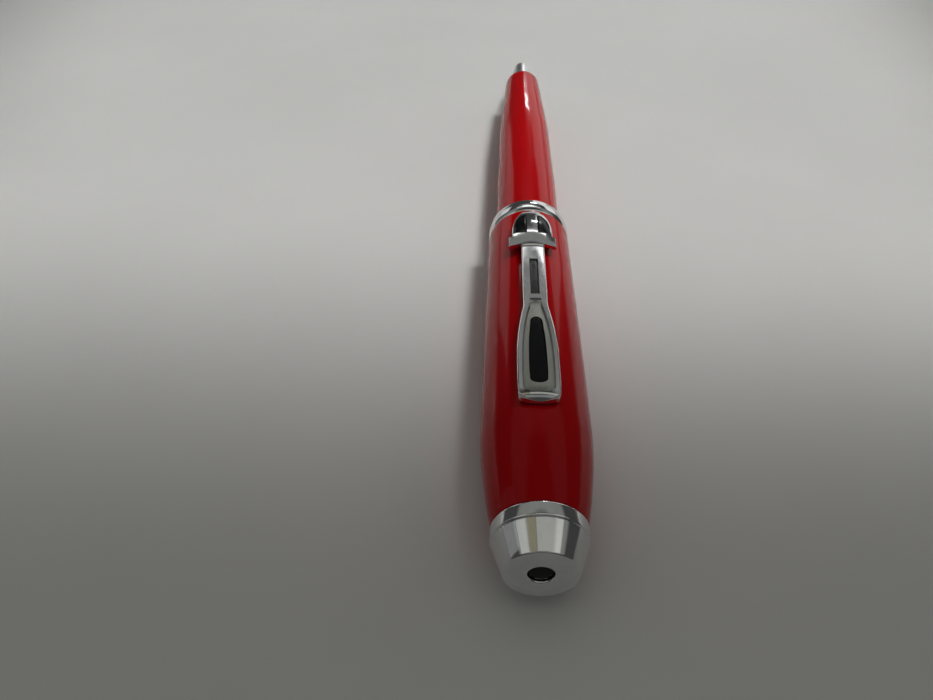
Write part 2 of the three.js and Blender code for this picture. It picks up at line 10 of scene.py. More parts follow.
import bmesh
import bpy
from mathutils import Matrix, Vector


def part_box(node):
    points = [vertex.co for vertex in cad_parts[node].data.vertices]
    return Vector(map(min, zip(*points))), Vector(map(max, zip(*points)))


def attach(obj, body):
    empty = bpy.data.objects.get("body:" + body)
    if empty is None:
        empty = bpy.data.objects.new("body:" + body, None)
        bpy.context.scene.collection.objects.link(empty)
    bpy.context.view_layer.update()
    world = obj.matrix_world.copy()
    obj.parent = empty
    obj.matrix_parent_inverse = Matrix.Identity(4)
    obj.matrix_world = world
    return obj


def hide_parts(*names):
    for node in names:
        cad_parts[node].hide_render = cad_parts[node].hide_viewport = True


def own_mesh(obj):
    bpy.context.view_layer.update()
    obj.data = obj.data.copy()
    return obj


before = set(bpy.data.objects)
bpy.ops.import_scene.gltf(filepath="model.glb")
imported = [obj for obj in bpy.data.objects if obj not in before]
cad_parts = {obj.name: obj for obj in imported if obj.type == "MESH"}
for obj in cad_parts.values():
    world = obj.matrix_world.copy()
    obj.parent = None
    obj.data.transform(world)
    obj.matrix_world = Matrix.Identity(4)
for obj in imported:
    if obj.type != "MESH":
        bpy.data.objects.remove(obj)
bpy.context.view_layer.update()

MM = 0.001
SHELL_LOW, SHELL_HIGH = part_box("cap_shell")
AXIS_HEIGHT = (SHELL_LOW.z + SHELL_HIGH.z) / 2
CROWN_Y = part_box("crown_cone")[0].y

# Stations along the pen, as in the CAD.
LENGTH = 138
SHELL_START = 6.35
LIP_START = 66.5
SLEEVE_START = 27.5
LOCK_START = 59
BARREL_START = 67
THREAD_START = 68
THREAD_END = 73
PILOT_END = 79
BUSH_END = 80.4
REFILL_END = 124.5
WALL_START = 127.6
STUD_HEAD = 127
BARREL_END = 128.7
ROUNDING_START = BARREL_END - 1.2
POINT = 14
HINGE_Y = 22.5
HINGE_Z = 8.45
GAP = 0.05
THREAD_PITCH = 0.75
THREAD_DEPTH = 0.2

# How finely a turned piece is drawn.
MOST_SEGMENTS = 160
SEGMENTS = 128
FEWER_SEGMENTS = 64


def place(x, y, z):
    return Vector((x * MM, y * MM + CROWN_Y, z * MM + AXIS_HEIGHT))


# ---------------------------------------------------------------- curves


def smooth(t):
    t = min(max(t, 0), 1)
    return t * t * (3 - 2 * t)


def through(stations):
    """A function of y that passes through stations [value, y] with no overshoot."""
    ys = [s[1] for s in stations]
    vs = [s[0] for s in stations]
    slopes = [(vs[i + 1] - vs[i]) / (ys[i + 1] - ys[i]) for i in range(len(ys) - 1)]
    tangents = [slopes[0]]
    for before, after in zip(slopes, slopes[1:]):
        mean = 0 if before * after <= 0 else 2 * before * after / (before + after)
        tangents.append(mean)
    tangents.append(slopes[-1])

    def value(y):
        y = min(max(y, ys[0]), ys[-1])
        i = max(k for k in range(len(ys) - 1) if ys[k] <= y)
        h = ys[i + 1] - ys[i]
        t = (y - ys[i]) / h
        start = (1 + 2 * t) * (1 - t) ** 2 * vs[i] + t * (1 - t) ** 2 * h * tangents[i]
        end = t * t * (3 - 2 * t) * vs[i + 1] + t * t * (t - 1) * h * tangents[i + 1]
        return start + end

    return value


def steps(start, end, count):
    return [start + (end - start) * i / count for i in range(count + 1)]


def rounded(profile, closed):
    """The profile [r, y] or [r, y, reach], with a curve in place of each corner that gives a reach."""
    arc = 5
    out = []
    for i, corner in enumerate(profile):
        point = Vector(corner[:2])
        if len(corner) == 2 or (not closed and i in (0, len(profile) - 1)):
            out.append(point)
            continue
        before = Vector(profile[i - 1][:2]) - point
        after = Vector(profile[(i + 1) % len(profile)][:2]) - point
        reach = min(corner[2], 0.48 * before.length, 0.48 * after.length)
        a = point + before.normalized() * reach
        b = point + after.normalized() * reach
        for t in steps(0, 1, arc):
            out.append((1 - t) ** 2 * a + 2 * t * (1 - t) * point + t * t * b)
    return out


# ---------------------------------------------------------------- meshes


def piece(name, mesh, body, nodes, materials):
    """Finishes a mesh as a piece that rides on a body and stands for CAD nodes."""
    for material in materials if isinstance(materials, list) else [materials]:
        mesh.materials.append(material)
    mesh.shade_smooth()
    mesh.set_sharp_from_angle(angle=math.radians(32))
    obj = bpy.data.objects.new(name, mesh)
    bpy.context.scene.collection.objects.link(obj)
    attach(obj, body)
    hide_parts(*nodes)
    return obj


def mesh_of(name, rings, closed_ring=True, closed_along=False, caps=True):
    """A mesh skinned over rings of points; a ring of one point is a pole."""
    bm = bmesh.new()
    made = [[bm.verts.new(place(*p)) for p in ring] for ring in rings]
    pairs = list(zip(made, made[1:]))
    if closed_along:
        pairs.append((made[-1], made[0]))
    for a, b in pairs:
        count = max(len(a), len(b))
        for i in range(count if closed_ring else count - 1):
            j = (i + 1) % count
            corners = [a[i % len(a)], a[j % len(a)], b[j % len(b)], b[i % len(b)]]
            unique = list(dict.fromkeys(corners))
            if len(unique) > 2:
                bm.faces.new(unique)
    if caps and closed_ring and not closed_along:
        for ring in (made[0], made[-1]):
            if len(ring) > 2:
                bm.faces.new(ring)
    bmesh.ops.recalc_face_normals(bm, faces=bm.faces)
    if bm.calc_volume(signed=True) < 0:
        bmesh.ops.reverse_faces(bm, faces=bm.faces)
    mesh = bpy.data.meshes.new(name)
    bm.to_mesh(mesh)
    bm.free()
    return mesh


def turned_mesh(name, profile, segments=SEGMENTS, ridge=None):
    """A lathe about the pen's axis. ridge(r, y, turn) adds to the radius, such as a thread."""
    closed = profile[0][0] > 0
    rings = []
    for r, y in rounded(profile, closed):
        if r < 1e-6:
            rings.append([(0, y, 0)])
            continue
        ring = []
        for k in range(segments):
            turn = k / segments
            radius = r + (ridge(r, y, turn) if ridge else 0)
            angle = 2 * math.pi * turn
            ring.append((radius * math.sin(angle), y, radius * math.cos(angle)))
        rings.append(ring)
    return mesh_of(name, rings, closed_along=closed, caps=False)


def turned(name, profile, body, nodes, material, segments=SEGMENTS, ridge=None):
    mesh = turned_mesh(name, profile, segments, ridge)
    return piece(name, mesh, body, nodes, material)


def wire_mesh(name, points, radius, sides=14):
    """A round wire along points, with flat ends."""
    rings = []
    normal = None
    for i, point in enumerate(points):
        ahead = points[min(i + 1, len(points) - 1)] - points[max(i - 1, 0)]
        tangent = ahead.normalized()
        if normal is None:
            normal = tangent.orthogonal().normalized()
        normal = (normal - tangent * normal.dot(tangent)).normalized()
        side = tangent.cross(normal)
        ring = []
        for k in range(sides):
            angle = 2 * math.pi * k / sides
            ring.append(point + radius * (math.cos(angle) * normal + math.sin(angle) * side))
        rings.append(ring)
    return mesh_of(name, rings)


# ---------------------------------------------------------------- materials


class Nodes:
    """Short hands for one material's node tree."""

    def __init__(self, name):
        self.material = bpy.data.materials.new(name)
        self.material.use_nodes = True
        self.tree = self.material.node_tree
        self.shader = self.tree.nodes["Principled BSDF"]
        self.place = self.add("ShaderNodeTexCoord").outputs["Object"]

    def add(self, kind, **settings):
        node = self.tree.nodes.new(kind)
        for key, value in settings.items():
            setattr(node, key, value)
        return node

    def link(self, a, b):
        self.tree.links.new(a, b)

    def stretched(self, scale):
        """Object coordinates in millimetres, times scale on each axis."""
        mapping = self.add("ShaderNodeMapping")
        mapping.inputs["Scale"].default_value = [s / MM for s in scale]
        self.link(self.place, mapping.inputs["Vector"])
        return mapping.outputs["Vector"]

    def noise(self, scale, detail=4, roughness=0.55, distortion=0):
        """Noise whose grains are about 1 / scale mm across."""
        node = self.add("ShaderNodeTexNoise")
        node.inputs["Scale"].default_value = 1
        node.inputs["Detail"].default_value = detail
        node.inputs["Roughness"].default_value = roughness
        node.inputs["Distortion"].default_value = distortion
        self.link(self.stretched(scale), node.inputs["Vector"])
        return node.outputs["Fac"]

    def range(self, value, low, high, start=0.3, end=0.7):
        node = self.add("ShaderNodeMapRange")
        for socket, number in (("From Min", start), ("From Max", end), ("To Min", low), ("To Max", high)):
            node.inputs[socket].default_value = number
        self.link(value, node.inputs["Value"])
        return node.outputs["Result"]

    def blend(self, factor, a, b):
        node = self.add("ShaderNodeMix", data_type="RGBA")
        self.link(factor, node.inputs["Factor"])
        node.inputs["A"].default_value = (*a, 1)
        node.inputs["B"].default_value = (*b, 1)
        return node.outputs["Result"]

    def bump(self, height, depth, strength=1, below=None):
        """A bump of about depth mm."""
        node = self.add("ShaderNodeBump")
        node.inputs["Distance"].default_value = depth * MM
        node.inputs["Strength"].default_value = strength
        self.link(height, node.inputs["Height"])
        if below:
            self.link(below, node.inputs["Normal"])
        return node.outputs["Normal"]

    def set(self, **values):
        for key, value in values.items():
            socket = self.shader.inputs[key.replace("_", " ")]
            if isinstance(value, bpy.types.NodeSocket):
                self.link(value, socket)
            else:
                socket.default_value = value


def red_lacquer():
    n = Nodes("red_lacquer")
    drift = n.range(n.noise((0.05, 0.03, 0.05), detail=2), 0, 1)
    grain = n.range(n.noise((9, 9, 9), detail=3), 0.10, 0.2)
    peel = n.noise((0.9, 0.9, 0.9), detail=2)
    smudge = n.noise((0.25, 0.16, 0.25), detail=5, distortion=0.6)
    n.set(
        Base_Color=n.blend(drift, (0.44, 0.0012, 0.0035), (0.52, 0.0020, 0.0045)),
        Roughness=grain,
        Specular_IOR_Level=0.05,
        Coat_Roughness=0.035,
        Coat_Weight=n.range(smudge, 0.2, 0.26),
        Coat_IOR=1.5,
        Coat_Normal=n.bump(peel, 0.0015),
        Normal=n.bump(grain, 0.002),
    )
    return n.material


def chrome():
    n = Nodes("chrome")
    smudge = n.noise((0.5, 0.35, 0.5), detail=6, distortion=0.8)
    scratch = n.noise((14, 0.8, 14), detail=3, roughness=0.7)
    n.set(
        Base_Color=n.blend(n.range(smudge, 0, 1), (0.70, 0.71, 0.72), (0.80, 0.80, 0.80)),
        Metallic=1.0,
        Roughness=n.range(smudge, 0.05, 0.13),
        Normal=n.bump(scratch, 0.0006),
    )
    return n.material


def satin_chrome(name, dark, light):
    n = Nodes(name)
    lines = n.noise((16, 0.5, 16), detail=3, roughness=0.7)
    n.set(
        Base_Color=n.blend(n.range(lines, 0, 1), dark, light),
        Metallic=1.0,
        Roughness=n.range(lines, 0.28, 0.4),
        Normal=n.bump(lines, 0.004),
    )
    return n.material


def black_enamel(name, shine):
    n = Nodes(name)
    cloud = n.noise((1.2, 1.2, 1.2), detail=3)
    n.set(
        Base_Color=n.blend(n.range(cloud, 0, 1), (0.002, 0.0025, 0.0025), (0.005, 0.006, 0.006)),
        Roughness=n.range(cloud, 0.1, 0.2),
        Specular_IOR_Level=shine,
        Normal=n.bump(cloud, 0.006),
    )
    return n.material


def grip_resin():
    n = Nodes("grip_resin")
    smudge = n.noise((0.4, 0.25, 0.4), detail=6, distortion=0.7)
    fine = n.noise((18, 18, 18), detail=3)
    n.set(
        Base_Color=n.blend(n.range(fine, 0, 1), (0.008, 0.008, 0.009), (0.016, 0.016, 0.018)),
        Roughness=n.range(smudge, 0.14, 0.32),
        Normal=n.bump(fine, 0.0015),
    )
    return n.material


def machined(name, dark, light, low, high, depth=0.002):
    """Turned metal: fine rings round the pen's axis, and a little tarnish."""
    n = Nodes(name)
    rings = n.noise((0.05, 22, 0.05), detail=4, roughness=0.75)
    tarnish = n.noise((0.7, 0.7, 0.7), detail=5, distortion=0.5)
    n.set(
        Base_Color=n.blend(n.range(tarnish, 0, 1), dark, light),
        Metallic=1.0,
        Roughness=n.range(rings, low, high),
        Normal=n.bump(rings, depth),
    )
    return n.material


def moulded(name, dark, light, low, high, subsurface=0.0, grain=6.0, depth=0.004):
    """Moulded plastic or rubber: a faint grain and slightly uneven gloss."""
    n = Nodes(name)
    fine = n.noise((grain, grain, grain), detail=4)
    cloud = n.noise((0.3, 0.3, 0.3), detail=3)
    n.set(
        Base_Color=n.blend(n.range(cloud, 0, 1), dark, light),
        Roughness=n.range(fine, low, high),
        Subsurface_Weight=subsurface,
        Subsurface_Scale=1.5 * MM,
        Normal=n.bump(fine, depth),
    )
    return n.material


def floor_paper():
    n = Nodes("floor_paper")
    mottle = n.noise((0.02, 0.02, 0.02), detail=5)
    tooth = n.noise((1.6, 1.6, 1.6), detail=4)
    n.set(
        Base_Color=n.blend(n.range(mottle, 0, 1), (0.70, 0.695, 0.68), (0.74, 0.735, 0.72)),
        Roughness=n.range(tooth, 0.5, 0.7),
        Specular_IOR_Level=0.3,
        Normal=n.bump(tooth, 0.02, strength=0.3),
    )
    return n.material


LACQUER = red_lacquer()
CHROME = chrome()
# Chrome for the clip's dish: its darker olive base colour is painted shade and painted reflection of the
# recess.
DISH_CHROME_PAINTED_SHADE = satin_chrome("satin_chrome", (0.42, 0.42, 0.38), (0.55, 0.55, 0.50))
PALE_CHROME = satin_chrome("pale_chrome", (0.80, 0.81, 0.82), (0.90, 0.90, 0.90))
ENAMEL = black_enamel("black_enamel", 0.15)
GLOSSY_ENAMEL = black_enamel("glossy_black_enamel", 1.0)
GRIP = grip_resin()
BRASS = machined("brass", (0.55, 0.38, 0.17), (0.72, 0.54, 0.27), 0.22, 0.4)
STEEL = machined("steel", (0.42, 0.42, 0.43), (0.58, 0.58, 0.59), 0.25, 0.42)
NICKEL = machined("nickel_silver", (0.60, 0.58, 0.52), (0.72, 0.70, 0.64), 0.12, 0.25, depth=0.0008)
CARBIDE = machined("carbide", (0.28, 0.28, 0.30), (0.36, 0.36, 0.38), 0.08, 0.16, depth=0.0002)
LINER = moulded("liner_plastic", (0.68, 0.66, 0.60), (0.78, 0.77, 0.72), 0.35, 0.5, subsurface=0.3)
RUBBER = moulded("rubber", (0.012, 0.012, 0.012), (0.022, 0.022, 0.022), 0.6, 0.8, grain=9.0)
REFILL = moulded("refill_plastic", (0.030, 0.034, 0.045), (0.045, 0.050, 0.064), 0.25, 0.4)
FIBRE = moulded("fibre", (0.006, 0.008, 0.02), (0.015, 0.018, 0.035), 0.85, 1.0, grain=4.0, depth=0.05)

# ---------------------------------------------------------------- crown


def crown():
    turned(
        "crown_cone",
        [
            (0, 0.8), (1.6, 0.8, 0.1), (1.6, 0.15, 0.12), (1.75, 0, 0.12), (4.1, 0), (4.6, 0, 0.45),
            (4.8, 0.5, 0.5), (6.05, 4.05, 0.12), (1.1, 4.05), (1.1, 1.5), (0, 1.5),
        ],
        "cap", ["crown_cone"], CHROME,
    )
    turned(
        "crown_band",
        [(1.1, 4.1), (5.9, 4.1, 0.1), (6.14, 4.3, 0.2), (6.14, 6.1, 0.2), (5.95, 6.3, 0.1), (1.1, 6.3)],
        "cap", ["crown_band"], CHROME,
    )
    turned(
        "crown_disc",
        [(0, 0.3), (1.2, 0.34, 0.3), (1.52, 0.42, 0.1), (1.55, 0.75, 0.03), (0, 0.75)],
        "cap", ["crown_disc"], ENAMEL,
    )
    turned(
        "screw_washer",
        [(1.1, 11.25, 0.05), (2.4, 11.25, 0.08), (2.4, 11.55, 0.08), (1.1, 11.55, 0.05)],
        "cap", ["screw_washer"], STEEL, FEWER_SEGMENTS,
    )


# ---------------------------------------------------------------- cap

CAP_OUTLINE = through([
    (5.97, SHELL_START), (6.47, 9), (6.95, 12.5), (7.38, 16.5), (7.57, 20.3), (7.51, 27), (7.41, 34.5),
    (7.13, 50), (6.9, 62), (6.8, LIP_START),
])
BARREL_OUTLINE = through([
    (5.5, BARREL_START), (5.42, 83), (5.24, 92), (4.95, 106), (4.66, 111.4), (4.46, 115), (4.26, 118),
    (4.1, 120.7), (3.92, 123.7), (3.65, ROUNDING_START), (3.5, BARREL_END),
])


def cap():
    wall = 0.8
    shell = [(5.75, SHELL_START, 0.08)]
    shell += [(CAP_OUTLINE(y), y) for y in steps(SHELL_START + 0.15, LIP_START - 0.08, 90)]
    shell += [(6.65, LIP_START, 0.06), (6.35, LIP_START), (6.35, 69.4, 0.1), (6.05, 69.4, 0.1), (6.05, 60)]
    shell += [(CAP_OUTLINE(y) - wall, y) for y in steps(57, 9, 40)]
    shell += [(5.2, 7.35), (1.1, 7.35), (1.1, SHELL_START)]
    mesh = turned_mesh("cap_shell", shell, MOST_SEGMENTS)
    piece("cap_shell", mesh, "cap", ["cap_shell"], LACQUER)

    turned(
        "lip_ring",
        [
            (6.4, 66.55), (6.48, 66.55, 0.03), (6.88, 67.25, 0.4), (6.88, 68.7, 0.5), (6.75, 69.4, 0.3),
            (6.65, 70, 0.15), (6.15, 70, 0.12), (6.05, 69.45), (6.4, 69.45),
        ],
        "cap", ["lip_ring"], CHROME, MOST_SEGMENTS,
    )
    turned(
        "cap_liner",
        [
            (1.1, 10), (5.6, 10, 0.3), (5.6, 11.5, 0.1), (5.5, 11.8, 0.1), (5.5, 58, 0.5),
            (5.97, 60.2, 0.5), (5.97, 69.3, 0.12), (5.65, 69.3, 0.12), (5.65, 63.5, 0.1), (5, 63, 0.1),
            (5, 60.8, 0.08), (5.35, 60.8, 0.05), (5.35, 59.7, 0.05), (5, 59.7, 0.08), (5, 30, 0.5),
            (4.6, 28, 0.5), (4.6, 11.2, 0.3), (1.1, 11.2),
        ],
        "cap", ["cap_liner"], LINER,
    )
    turned(
        "tip_seal",
        [
            (0, 12.45), (4.5, 12.45, 0.2), (4.5, 13.9, 0.2), (2.3, 13.9, 0.1), (2.1, 16, 0.15),
            (1.5, 16, 0.15), (1.3, 13.9, 0.1), (0, 13.9),
        ],
        "cap", ["tip_seal"], RUBBER, FEWER_SEGMENTS,
    )

    snap_ring()
    clip_pin()
    clip_spring()

    # These three are hidden, so they keep their CAD shape and only get a material.
    for name in ("crown_screw", "clip_bracket", "bracket_rivet"):
        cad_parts[name].data.materials.clear()
        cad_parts[name].data.materials.append(STEEL)


def snap_ring():
    """A split ring of wire with flattened sides."""
    middle_y = 60.25
    open_half = 0.13
    wire_outline = [
        (4.95, -0.32), (5.1, -0.45), (5.25, -0.32), (5.25, 0.32), (5.1, 0.45), (4.95, 0.32), (4.9, 0),
    ]
    ring = []
    for angle in steps(math.pi + open_half, 3 * math.pi - open_half, 120):
        ring.append([(r * math.sin(angle), middle_y + y, r * math.cos(angle)) for r, y in wire_outline])
    piece("snap_ring", mesh_of("snap_ring", ring), "cap", ["snap_ring"], STEEL)


def clip_pin():
    angles = steps(0, 2 * math.pi, 32)[:-1]
    pin = []
    for x, r in ((-2.5, 0), (-2.5, 0.3), (-2.45, 0.35), (2.45, 0.35), (2.5, 0.3), (2.5, 0)):
        circle = [(x, HINGE_Y + r * math.cos(a), HINGE_Z + r * math.sin(a)) for a in angles]
        pin.append(circle if r else [(x, HINGE_Y, HINGE_Z)])
    piece("clip_pin", mesh_of("clip_pin", pin, caps=False), "cap", ["clip_pin"], STEEL)


def clip_spring():
    """The leaf round the clip's bracket, which the clip's heel presses flat."""
    low = 7.6
    thickness = 0.14
    rise = 0.08
    front = 20.3
    bend = 24.2
    back = 25.8
    half = 1.3
    opening_half = 0.8
    opening_front = 21.45
    opening_back = 23.55
    outer = ((-half, front), (half, front), (half, back), (-half, back))
    inner = (
        (-opening_half, opening_front), (opening_half, opening_front),
        (opening_half, opening_back), (-opening_half, opening_back),
    )
    rings = []
    for (x, y), (inside_x, inside_y) in zip(outer, inner):
        z = low + rise * max(0, (bend - y) / (bend - front))
        inside_z = low + rise * max(0, (bend - inside_y) / (bend - front))
        rings.append([
            (x, y, z), (x, y, z + thickness),
            (inside_x, inside_y, inside_z + thickness), (inside_x, inside_y, inside_z),
        ])
    mesh = mesh_of("clip_spring", rings, closed_along=True)
    leaf = piece("clip_spring", mesh, "cap", ["clip_spring"], STEEL)
    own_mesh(leaf)


# ---------------------------------------------------------------- clip

CLIP_START = 20.1
CLIP_END = 65.2
BLADE_END = 41.2
BAR_START = 54.0
BAR_END = 56.1
DISH = (21.1, 40.3)
CORE = (22.9, 36.4)
NECK_SLOT = (41.3, 50.1)
LOBES = (56.6, 62.7)

NECK_HALF = 1.8
BAR_HALF = 3.72
NECK_SLOT_HALF = 0.62
RIB_HALF = 0.85
WINDOW_DEPTH = 0.9
DISH_DEPTH = 0.42

blade_half = through([
    (2.72, 20.8), (2.85, 24), (2.84, 29), (2.6, 33), (2.15, 36.6), (1.78, 39.6), (NECK_HALF, 42),
])
head_half = through([
    (3.22, BAR_END), (3.14, 58.5), (2.75, 61), (2.05, 63.1), (1.3, 64.4), (0.75, 65),
])
clip_lift = through([
    (0.85, CLIP_START), (1.4, 20.45), (1.75, 21), (1.95, 22.5), (1.9, 32), (1.72, BLADE_END), (1.7, 53.4),
    (1.95, BAR_START), (2.12, 55), (2.2, 57), (2.1, 59.5), (1.65, 62.3), (1.15, 64.2), (0.75, CLIP_END),
])
dish_half = through([
    (2.12, DISH[0]), (2.2, 25), (2.15, 29), (1.9, 33), (1.42, 36.6), (0.9, 39.2), (0.8, DISH[1]),
])
core_half = through([(1.1, CORE[0]), (1.2, 26), (1.12, 31), (0.85, 35), (0.75, CORE[1])])
lobe_half = through([(2.8, LOBES[0]), (2.78, 58.6), (2.45, 60.6), (1.8, 62), (1.5, LOBES[1])])


def end_round(y, start, end, reach):
    """0 at start and end, rising to 1 over reach like a quarter circle."""
    inside = min(y - start, end - y, reach)
    return math.sqrt(max(0, 1 - (1 - inside / reach) ** 2)) if inside > 0 else 0


def clip_half(y):
    if y < BLADE_END + 0.5:
        return blade_half(y) * end_round(y, CLIP_START, CLIP_END, 1.1)
    if y < BAR_START:
        return NECK_HALF
    if y < BAR_END:
        return BAR_HALF
    return head_half(y) * end_round(y, CLIP_START, CLIP_END, 0.5)


def dish(y):
    return dish_half(y) * end_round(y, *DISH, 0.9)


def window(y):
    """(inner edge, outer edge) of the window for black enamel at y, or None where there is none."""
    if CORE[0] < y < CORE[1]:
        return 0, core_half(y) * end_round(y, *CORE, 0.8)
    if NECK_SLOT[0] < y < NECK_SLOT[1]:
        return 0, NECK_SLOT_HALF
    if LOBES[0] < y < LOBES[1]:
        return RIB_HALF, RIB_HALF + (lobe_half(y) - RIB_HALF) * end_round(y, *LOBES, 0.5)
    return None


def clip_top(x, y):
    radius = CAP_OUTLINE(y) + clip_lift(y)
    return math.sqrt(radius * radius - x * x)


def clip_bottom(x, y):
    clear = 0.5 + 0.55 * smooth((y - 30) / 8) + 0.35 * smooth((y - 52.5) / 1.2)
    clear -= 1.35 * smooth((y - BAR_END + 0.5) / 1.6)
    radius = CAP_OUTLINE(y) + max(clear, 0.06)
    return math.sqrt(radius * radius - x * x)


def clip_section(y):
    """Half of the clip's outline at y, from the middle of its top to the middle of its underside."""
    half = max(clip_half(y), 0.02)
    edge = (0.3 if y < BAR_START else 0.18) * min(1, half)
    crest = half - edge
    wall = 0.05 * min(1, crest)
    dished = min(dish(y), 0.95 * crest)
    sunk = DISH_DEPTH * min(1, dished / 0.5)
    inner, outer = window(y) or (0, 0.45 * crest)
    outer = min(outer, 0.95 * crest)
    inner = min(inner, 0.9 * outer)
    bed = WINDOW_DEPTH if window(y) else sunk
    middle = sunk if inner > 0 else bed
    split = inner if inner > 0 else 0.4 * outer
    shelf = min(max(dished, outer + 3 * wall), 0.97 * crest)
    land = max(shelf - 0.22, outer + 2 * wall)
    columns = [
        (0, middle, 5), (split, middle, 1), (split + 0.5 * wall, bed, 6), (outer, bed, 2),
        (outer + wall, sunk, 6), (land, sunk, 6), (shelf, 0, 5), (crest, 0, 0),
    ]
    points = []
    for (x0, depth0, count), (x1, depth1, _) in zip(columns, columns[1:]):
        for i in range(count):
            x = x0 + (x1 - x0) * i / count
            depth = depth0 + (depth1 - depth0) * smooth(i / count)
            points.append((x, clip_top(x, y) - depth))
    top = clip_top(crest, y)
    low = clip_bottom(half, y)
    drop = min(0.3, 0.45 * (top - low))
    side = 6
    for i in range(side + 1):
        angle = math.pi / 2 * i / side
        points.append((crest + edge * math.sin(angle), top - drop * (1 - math.cos(angle))))
    corner = 0.08 * min(1, half)
    for i in range(1, side):
        points.append((half, top - drop + (low + corner - top + drop) * i / (side - 1)))
    across = 10
    for i in range(across + 1):
        x = (half - corner) * (1 - i / across)
        points.append((x, clip_bottom(x, y)))
    return points


def clip_stations():
    """Where the clip is sectioned: closest together at its ends and beside each step in its top."""
    crisp = 0.012
    marks = [*NECK_SLOT, *LOBES, *CORE, *DISH, BAR_START, BAR_END]
    ys = set(steps(CLIP_START, CLIP_END, 330))
    ys |= set(CLIP_START + 1.2 * t * t for t in steps(0, 1, 24))
    ys |= set(CLIP_END - 0.6 * t * t for t in steps(0, 1, 14))
    for mark in marks:
        ys = set(y for y in ys if abs(y - mark) > 0.03)
        ys |= {mark - crisp, mark + crisp}
        for t in steps(0.1, 0.9, 8):
            ys |= {mark - 0.015 - 0.9 * t * t, mark + 0.015 + 0.9 * t * t}
    kept = []
    for y in sorted(ys):
        if CLIP_START <= y <= CLIP_END and (not kept or y - kept[-1] > 0.008):
            kept.append(y)
    return kept


def mirrored(section, y):
    """A closed ring from the half outline of a section and its mirror image."""
    right = [(x, y, z) for x, z in section]
    left = [(-x, y, z) for x, z in reversed(section[1:-1])]
    return right + left


def clip_frame():
    rings = [mirrored(clip_section(y), y) for y in clip_stations()]
    mesh = mesh_of("clip_frame", rings)
    mesh.materials.append(CHROME)
    mesh.materials.append(DISH_CHROME_PAINTED_SHADE)
    # Faces down in the dish take the darker chrome, whose colour paints in the recess's shade and
    # reflection.
    for face in mesh.polygons:
        x, y, z = (face.center - place(0, 0, 0)) / MM
        inside = dish(y) - 0.12
        if inside > 0.1 and abs(x) < inside and z > clip_top(x, y) - WINDOW_DEPTH - 0.1:
            face.material_index = 1
    piece("clip_frame", mesh, "clip", ["clip_frame"], [])


def inlay(name, ends, sink, side=0, material=ENAMEL):
    """Enamel in a window, with its crest sink below the clip's surface. side 0 spans the middle."""
    play = 0.012
    start, end = ends[0] + play, ends[1] - play
    rings = []
    for t in steps(0, 1, 70):
        y = start + (end - start) * (1 - math.cos(math.pi * t)) / 2
        inner, outer = window(y)
        outer = max(outer - play, 0.01)
        inner = -outer if side == 0 else min(inner + 0.05, outer - 0.01)
        ring = []
        for u in steps(0, 1, 12):
            x = inner + (outer - inner) * u
            swell = 0.1 * math.sqrt(1 - (2 * u - 1) ** 2)
            ring.append((x, y, clip_top(x, y) - sink - 0.1 + swell))
        for u in (1, 0.5, 0):
            x = inner + (outer - inner) * u
            ring.append((x, y, clip_top(x, y) - WINDOW_DEPTH + play))
        rings.append([(-x, y, z) for x, y, z in ring] if side < 0 else ring)
    piece(name, mesh_of(name, rings), "clip", [name], material)


def clip():
    clip_frame()
    inlay("blade_inlay", CORE, 0.5)
    inlay("neck_inlay", NECK_SLOT, 0.22, material=GLOSSY_ENAMEL)
    inlay("head_inlay_left", LOBES, 0.1, side=-1)
    inlay("head_inlay_right", LOBES, 0.1, side=1)


# ---------------------------------------------------------------- section


